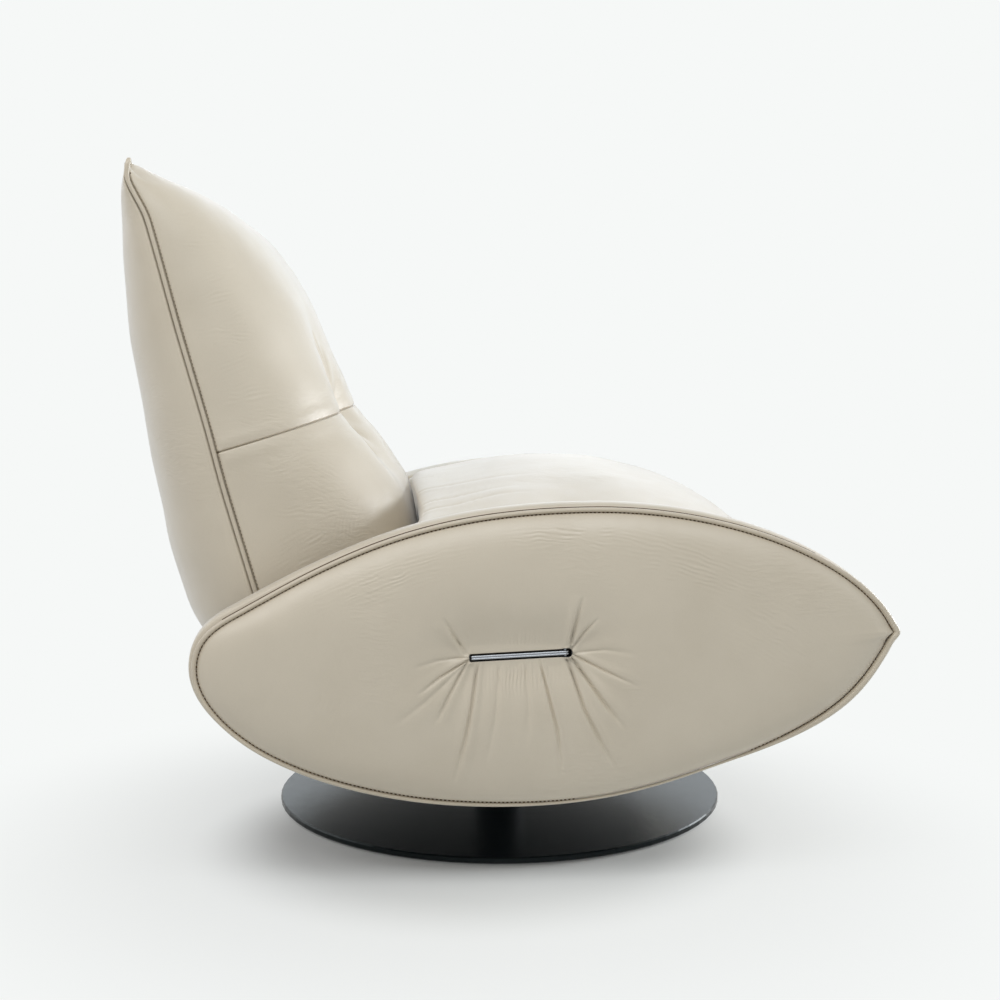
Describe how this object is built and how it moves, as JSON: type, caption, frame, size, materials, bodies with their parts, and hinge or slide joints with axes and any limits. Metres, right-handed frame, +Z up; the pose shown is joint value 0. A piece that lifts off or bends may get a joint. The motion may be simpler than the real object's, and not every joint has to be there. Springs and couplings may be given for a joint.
{
  "type": "swivel rocker lounge chair",
  "caption": "Low lounge chair on a round swivel foot, with lens-shaped padded arms, a rocking seat, a reclining tufted back and a fold-out footrest.",
  "frame": {"origin": "on the floor, under the centre of the round foot", "axes": "+X towards the front of the chair, +Y to the sitter's left, +Z up"},
  "size_m": [0.9074, 0.8115, 0.8279],
  "materials": {
    "leather": "soft grained leather, greige",
    "welt_leather": "the same leather, rolled over a cord",
    "black_steel": "semi-gloss black powder coat",
    "zinc_steel": "zinc plated",
    "plywood": "raw plywood",
    "dark_cloth": "black lining cloth",
    "black_plastic": "moulded, matte",
    "graphite": "polished dark metal",
    "floor_rubber": "matte"
  },
  "bodies": {
    "base": {"floor_pad": "floor_rubber", "base_plate": "black_steel", "pedestal_column": "black_steel", "bearing_lower_race": "zinc_steel", "glide_ring": "black_plastic"},
    "swivel": {"bearing_upper_race": "zinc_steel", "swivel_plate": "black_steel", "swivel_spindle": "zinc_steel", "rocker_shaft": "zinc_steel", "rocker_cheek_right": "black_steel", "rocker_cheek_left": "black_steel", "shaft_collar_right": "zinc_steel", "shaft_collar_left": "zinc_steel", "rocker_spring_front_right": "zinc_steel", "rocker_spring_front_left": "zinc_steel", "rocker_spring_rear_right": "zinc_steel", "rocker_spring_rear_left": "zinc_steel"},
    "seat": {"rocker_bracket_right": "black_steel", "rocker_bracket_left": "black_steel", "rocker_bush_right": "black_plastic", "rocker_bush_left": "black_plastic", "frame_rail_right": "black_steel", "frame_rail_left": "black_steel", "side_plate_right": "black_steel", "side_plate_left": "black_steel", "recline_pin_right": "zinc_steel", "recline_pin_left": "zinc_steel", "footrest_pin_right": "zinc_steel", "footrest_pin_left": "zinc_steel", "frame_cross_front": "black_steel", "frame_cross_rear": "black_steel", "seat_deck": "plywood", "arm_board_right": "plywood", "arm_board_left": "plywood", "arm_pad_right": "leather", "arm_pad_left": "leather", "arm_welt_right": "welt_leather", "arm_welt_left": "welt_leather", "lever_housing": "black_plastic", "lever_pin": "zinc_steel", "seat_cushion": "leather", "underside_shell": "dark_cloth", "gas_bracket": "black_steel", "gas_cylinder": "black_steel", "release_cable": "floor_rubber"},
    "lever": {"lever_bar": "graphite"},
    "footrest": {"footrest_pad": "leather", "footrest_board": "plywood", "footrest_arm_right": "black_steel", "footrest_arm_left": "black_steel"},
    "back": {"back_cushion_lower": "leather", "back_cushion_upper": "leather", "back_shell": "leather", "back_frame": "plywood", "back_welt": "welt_leather", "back_arm_right": "black_steel", "back_arm_left": "black_steel", "gas_fork": "black_steel", "back_apron": "leather"},
    "gas_piston": {"gas_rod": "zinc_steel"}
  },
  "joints": [
    {"name": "swivel", "type": "hinge", "parent": "base", "child": "swivel", "pos_m": [0, 0, 0.13], "axis": [0, 0, 1], "continuous": true},
    {"name": "rock", "type": "hinge", "parent": "swivel", "child": "seat", "pos_m": [0, 0, 0.1653], "axis": [0, -1, 0], "range_deg": [-5, 8], "stiffness_Nm_per_rad": 500, "springref_deg": -4.1, "deforming": ["rocker_spring_front_right", "rocker_spring_front_left", "rocker_spring_rear_right", "rocker_spring_rear_left"]},
    {"name": "recline", "type": "hinge", "parent": "seat", "child": "back", "pos_m": [-0.3, 0, 0.29], "axis": [0, -1, 0], "range_deg": [0, 25]},
    {"name": "footrest", "type": "hinge", "parent": "seat", "child": "footrest", "pos_m": [0.398, 0, 0.288], "axis": [0, -1, 0], "range_deg": [0, 138]},
    {"name": "lever", "type": "hinge", "parent": "seat", "child": "lever", "pos_m": [0.04795, -0.388, 0.27618], "axis": [-0.0436, 0, 0.999], "range_deg": [0, 30], "stiffness_Nm_per_rad": 0.05, "springref_deg": -17.19},
    {"name": "gas_slide", "type": "slide", "parent": "seat", "child": "gas_piston", "axis": [1, 0, 0], "range_m": [0, 0.0325]}
  ],
  "couplings": [
    {"joint": "gas_slide", "follows": "recline", "m_per_rad": 0.07143}
  ]
}
